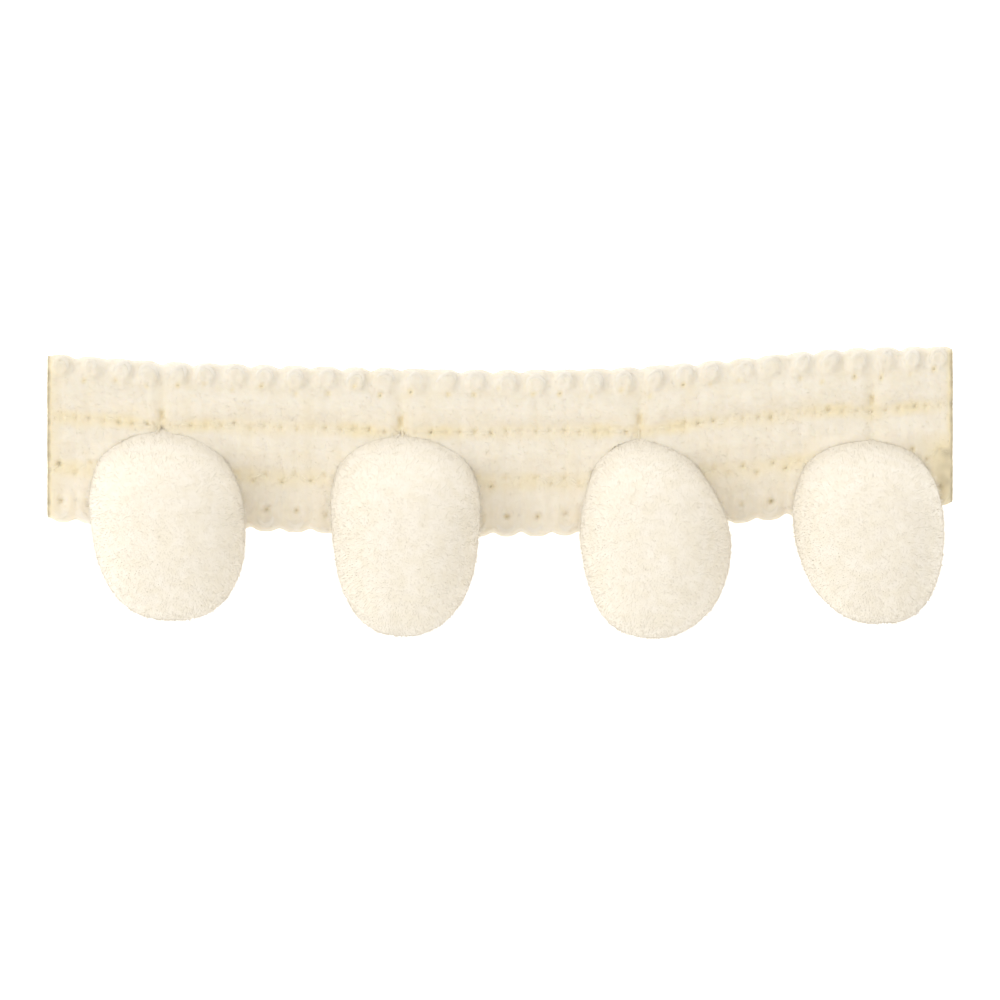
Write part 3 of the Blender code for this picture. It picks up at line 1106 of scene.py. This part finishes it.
@dataclass
class SurfaceFuzz:
    """Loose fibres that stand off a piece of knitted cloth or yarn."""

    name: str
    count: int
    length: float
    lift: float
    radius: float
    seed: int
    lowest: float = 0.5
    least_facing: float = -0.3
    lengths: tuple[float, float] = (0.5, 1.3)
    lifts: tuple[float, float] = (0.1, 1.3)
    clear: float = 0.02

    def build(self, grounds: Sequence[bpy.types.Object]) -> bpy.types.Object:
        """Grows the fibres as one piece, from the higher faces of pieces that they stand on."""
        chance = np.random.default_rng(self.seed)
        corners, normals = [], []
        for ground in grounds:
            ground.data.calc_loop_triangles()
            points = points_of(ground)
            numbers = np.empty(len(ground.data.loop_triangles) * 3, np.int32)
            ground.data.loop_triangles.foreach_get("vertices", numbers)
            corners.append(points[numbers.reshape(-1, 3)])
        corners = np.concatenate(corners)
        normals = np.cross(corners[:, 1] - corners[:, 0], corners[:, 2] - corners[:, 0])
        area = np.linalg.norm(normals, axis=1) / 2
        facing = normals[:, 2] / np.maximum(area * 2, 1e-9)
        grown = (corners[:, :, 2].mean(axis=1) > self.lowest) & (facing > self.least_facing)
        weight = np.where(grown, area, 0.0)
        picked = chance.choice(len(corners), self.count, p=weight / weight.sum())
        share = chance.dirichlet((1, 1, 1), self.count)
        roots = (corners[picked] * share[:, :, None]).sum(axis=1)
        normal = normals[picked] / (2 * area[picked])[:, None]
        stray = chance.normal(0, 1, (self.count, 3))
        stray -= (stray * normal).sum(axis=1)[:, None] * normal
        stray /= np.linalg.norm(stray, axis=1)[:, None]
        length = self.length * chance.uniform(*self.lengths, self.count)[:, None]
        lift = self.lift * chance.uniform(*self.lifts, self.count)[:, None]
        tips = roots + length * (stray * np.sqrt(np.clip(1 - lift**2, 0, 1)) + normal * lift)
        tips[:, 2] = np.maximum(tips[:, 2], self.clear)
        roots -= self.clear * normal
        points, faces = Fibres(self.radius, self.seed).mesh_arrays(roots, tips)
        return piece_from_arrays(self.name, points, faces)


@dataclass
class Pompom:
    """A cut-pile pompom: a core, and the fibres that stand on it."""

    number: int
    shape: PompomShape
    fibres: int = 38000
    core_inset: float = 0.09
    fibre_radius: float = 0.026
    lean: float = 0.13
    clump: float = 0.03
    uneven: float = 0.06
    stray_share: float = 0.24
    stray_length: float = 0.60
    jitter: float = 0.6
    tip_reach: float = 0.06
    clump_size: float = 0.9
    least_length: float = 0.03
    # How far the fibres' roots take the deep tone as painted shade
    shade: float = 0.15

    def settle(self, points: Array) -> Array:
        """Raises points to what the pompom rests on."""
        points[:, 2] = np.maximum(points[:, 2], LAYOUT.rest_height(points[:, 0], points[:, 1]))
        return points

    def relief(self, points: Array) -> Array:
        """How far the pile stands out at each point, in soft lumps a few millimetres wide."""
        wide = Lumps(0.14, 3.4, self.shape.seed)
        small = Lumps(0.05, 1.3, self.shape.seed + 5)
        return wide.at(points) + small.at(points)

    def core(self) -> tuple[Array, Array]:
        """The closed core under the fibres, from an icosphere rounded to the barrel."""
        deselect()
        bpy.ops.mesh.primitive_ico_sphere_add(subdivisions=5, radius=1.0)
        ball = bpy.context.object
        unit = self.shape.on_barrel(points_of(ball) * MM)
        faces = np.array([face.vertices[:] for face in ball.data.polygons])
        bpy.data.objects.remove(ball, do_unlink=True)
        inset = self.core_inset - self.relief(self.shape.barrel(unit, 0.0))
        return self.settle(self.shape.barrel(unit, inset)), faces

    def pile(self) -> tuple[Array, Array]:
        """Root and tip of each fibre, evenly spread over the barrel and leaning in small clumps."""
        chance = np.random.default_rng(self.shape.seed)
        order = np.arange(self.fibres) + 0.5
        level = 1 - 2 * order / self.fibres
        ring = np.sqrt(1 - level**2)
        turn = GOLDEN_ANGLE * order
        direction = np.column_stack((ring * np.cos(turn), level, ring * np.sin(turn)))
        direction += chance.normal(0, self.jitter / math.sqrt(self.fibres), direction.shape)
        unit = self.shape.on_barrel(direction)
        outer = self.shape.barrel(unit, 0.0)
        relief = self.relief(outer)
        roots = self.shape.barrel(unit, self.core_inset - relief)
        short = chance.uniform(0, self.uneven, self.fibres)
        strays = chance.random(self.fibres) < self.stray_share
        reach = np.where(strays, -self.stray_length * chance.random(self.fibres), short)
        tips = self.shape.barrel(unit, reach + self.tip_reach - relief)
        stray = chance.normal(0, self.lean, tips.shape)
        outward = direction / np.linalg.norm(direction, axis=1)[:, None]
        tips += stray - (stray * outward).sum(axis=1)[:, None] * outward
        for axis in range(3):
            tips[:, axis] += Lumps(self.clump, self.clump_size, self.shape.seed + 11 * (axis + 1)).at(outer)
        return self.settle(roots), self.settle(tips)

    def build(self) -> bpy.types.Object:
        """Builds the pompom as one piece, with painted shade that grows towards the roots of its fibres."""
        core_points, core_faces = self.core()
        roots, tips = self.pile()
        longer = np.linalg.norm(tips - roots, axis=1) > self.least_length
        fibres = Fibres(self.fibre_radius, self.shape.seed)
        spikes, spike_faces = fibres.mesh_arrays(roots[longer], tips[longer])
        points = np.concatenate((core_points, spikes))
        faces = np.concatenate((core_faces, spike_faces + len(core_points)))
        made = piece_from_arrays(f"pompom_{self.number}_pile", points, faces)
        # Painted shade: full depth at the core and at each fibre's three root points, none at its tip
        depth = np.concatenate((np.ones(len(core_points)), np.tile((1.0, 1.0, 1.0, 0.0), longer.sum())))
        store(made, DEPTH, depth * self.shade)
        packed = np.arange(len(faces)) < len(core_faces)
        made.data.materials.append(None)
        made.data.materials.append(None)
        made.data.polygons.foreach_set("material_index", packed.astype(np.int32))
        return made


@dataclass
class Tie:
    """The two-ply thread from a slit into the end of a pompom's pile."""

    number: int
    shape: PompomShape
    radius: float = 0.22
    steps: int = 40
    route: tuple[tuple[float, float, float], ...] = (
        (0.0, -0.60, 1.15),
        (0.2, -0.50, 1.22),
        (0.6, 0.00, 1.46),
        (0.9, 0.00, 1.66),
        (1.0, -0.80, 2.30),
        (1.0, -2.10, 3.00),
    )
    hidden_end: tuple[float, float] = (0.15, 0.9)
    yarn: YarnPath = field(default_factory=lambda: YarnPath(12, 2, 0.35, 1.3))

    def build(self) -> bpy.types.Object:
        """Builds the thread on its solid's route."""
        slit_y = float(LAYOUT.top(self.shape.slit_x)) - LAYOUT.slit_below
        start = np.array((self.shape.slit_x, slit_y))
        end = np.array((self.shape.top_x, self.shape.top_y))
        knots = []
        for along, past, height in self.route:
            spot = start + (end - start) * along
            knots.append((spot[0], spot[1] + past, height))
        past, height = self.hidden_end
        knots.insert(0, (knots[0][0], knots[0][1] + past, height))
        places = np.linspace(0, 1, len(knots))
        at = np.linspace(0, 1, self.steps)
        line = np.column_stack([curve_through(places, [k[axis] for k in knots], at) for axis in range(3)])
        points, faces = self.yarn.sweep(line, self.radius, (1, 0, 0))
        return piece_from_arrays(f"tie_{self.number}_thread", points, faces)


@dataclass
class Studio:
    """A white floor, a long-lens camera straight above, and soft light from the left."""

    photo_width: float = 120.0
    centre_y: float = -1.02
    camera_height: float = 1500.0
    subject_height: float = 4.0
    sensor: float = 36.0
    left_power: float = 5.5
    left_place: tuple[float, float, float] = (-0.95, 0.12, 0.95)
    top_power: float = 3.4
    top_place: tuple[float, float, float] = (-0.05, 0.20, 1.40)
    box_size: float = 0.9
    fill: float = 0.84
    floor_glow: float = 0.65

    def floor(self) -> bpy.types.Object:
        """Adds the floor: matt white seamless paper, lit a little from behind."""
        deselect()
        bpy.ops.mesh.primitive_plane_add(size=6.0, location=(0, 0, 0))
        floor = bpy.context.object
        floor.name = "floor"
        bpy.ops.object.mode_set(mode="EDIT")
        bpy.ops.mesh.select_all(action="SELECT")
        bpy.ops.mesh.subdivide(number_cuts=3)
        bpy.ops.object.mode_set(mode="OBJECT")
        paper = bpy.data.materials.new("matt_white_paper")
        paper.use_nodes = True
        shader = paper.node_tree.nodes["Principled BSDF"]
        shader.inputs["Base Color"].default_value = linear_colour("#F8F8F7")
        shader.inputs["Roughness"].default_value = 0.9
        shader.inputs["Specular IOR Level"].default_value = 0.1
        shader.inputs["Emission Color"].default_value = linear_colour("#FFFFFF")
        shader.inputs["Emission Strength"].default_value = self.floor_glow
        floor.data.materials.append(paper)
        return floor

    def camera(self) -> None:
        """Adds the camera."""
        data = bpy.data.cameras.new("camera")
        data.sensor_width = self.sensor
        data.lens = self.sensor * (self.camera_height - self.subject_height) / self.photo_width
        data.clip_start = 0.05
        data.clip_end = 20.0
        made = bpy.data.objects.new("camera", data)
        made.location = (0.0, self.centre_y * MM, self.camera_height * MM)
        bpy.context.scene.collection.objects.link(made)
        bpy.context.scene.camera = made

    def soft_box(self, name: str, place: tuple[float, float, float], power: float) -> None:
        """Adds a square soft box at a place in metres, which faces the trim, with a power in watts."""
        data = bpy.data.lights.new(name, "AREA")
        data.shape = "SQUARE"
        data.size = self.box_size
        data.energy = power
        box = bpy.data.objects.new(name, data)
        box.location = place
        box.rotation_mode = "QUATERNION"
        box.rotation_quaternion = Vector(place).to_track_quat("Z", "Y")
        bpy.context.scene.collection.objects.link(box)

    def lights(self) -> None:
        """Adds the soft boxes above and on the left, and the even light of a white room."""
        self.soft_box("left_box", self.left_place, self.left_power)
        self.soft_box("top_box", self.top_place, self.top_power)
        world = bpy.data.worlds.new("white_room")
        world.use_nodes = True
        back = world.node_tree.nodes["Background"]
        back.inputs["Color"].default_value = linear_colour("#FFFFFF")
        back.inputs["Strength"].default_value = self.fill
        bpy.context.scene.world = world
        bpy.context.scene.view_settings.view_transform = "Standard"


@dataclass
class Trim:
    """The whole trim, piece by piece."""

    finishes: dict = field(default_factory=dict)

    def dress(
        self,
        piece: bpy.types.Object,
        yarns: Sequence[YarnFinish],
        replaced: str | None = None,
    ) -> bpy.types.Object:
        """Gives a piece its finishes and ties it to the frame.

        Args:
            piece: The new piece.
            yarns: Its yarns, in the order of its faces' material numbers.
            replaced: The solid that it stands for, if it stands for one.

        Returns:
            The piece.
        """
        for number, yarn in enumerate(yarns):
            if yarn.name not in self.finishes:
                self.finishes[yarn.name] = yarn.material()
            if number >= len(piece.data.materials):
                piece.data.materials.append(None)
            piece.data.materials[number] = self.finishes[yarn.name]
        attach(piece, BODY)
        if replaced:
            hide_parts(replaced)
        LOG.info("%s: %d faces", piece.name, len(piece.data.polygons))
        return piece

    def heading(self) -> None:
        """Builds the cloth, the weft's turns at both edges, the chain stitches and the loose fibres."""
        heading = Heading()
        cloth = self.dress(heading.build(), (KNIT_COTTON,), "heading")
        parts = []
        for raised, yarn in (
            (PICOTS, WEFT_COTTON),
            (SCALLOPS, WEFT_COTTON),
            (ChainStitches("first_groove_stitches", 7.35, 7.35, 0.26, 0.20, 71), CHAIN_COTTON),
            (ChainStitches("second_groove_stitches", 12.8, 13.8, 0.26, 0.18, 73), CHAIN_COTTON),
        ):
            piece = heading.tint(raised.build(heading.ground))
            parts.append(self.dress(piece, (yarn,)))
        fuzz = SurfaceFuzz("heading_fuzz", count=10000, length=0.60, lift=0.40, radius=0.017, seed=79)
        fibres = heading.tint(fuzz.build([cloth, *parts]))
        parts.append(self.dress(fibres, (WEFT_COTTON,)))

    def fringe(self) -> None:
        """Builds the pompoms and their ties."""
        for number, shape in enumerate(POMPOMS, start=1):
            pile = Pompom(number, shape).build()
            self.dress(pile, (CUT_ACRYLIC, PACKED_ACRYLIC), f"pompom_{number}")
            thread = Tie(number, shape).build()
            self.dress(thread, (TIE_COTTON,), f"tie_{number}")


def main() -> None:
    """Builds the studio and the trim."""
    logging.basicConfig(level=logging.INFO, format="%(name)s %(message)s")
    studio = Studio()
    studio.camera()
    studio.floor()
    studio.lights()
    trim = Trim()
    trim.heading()
    trim.fringe()


if __name__ == "__main__":
    main()
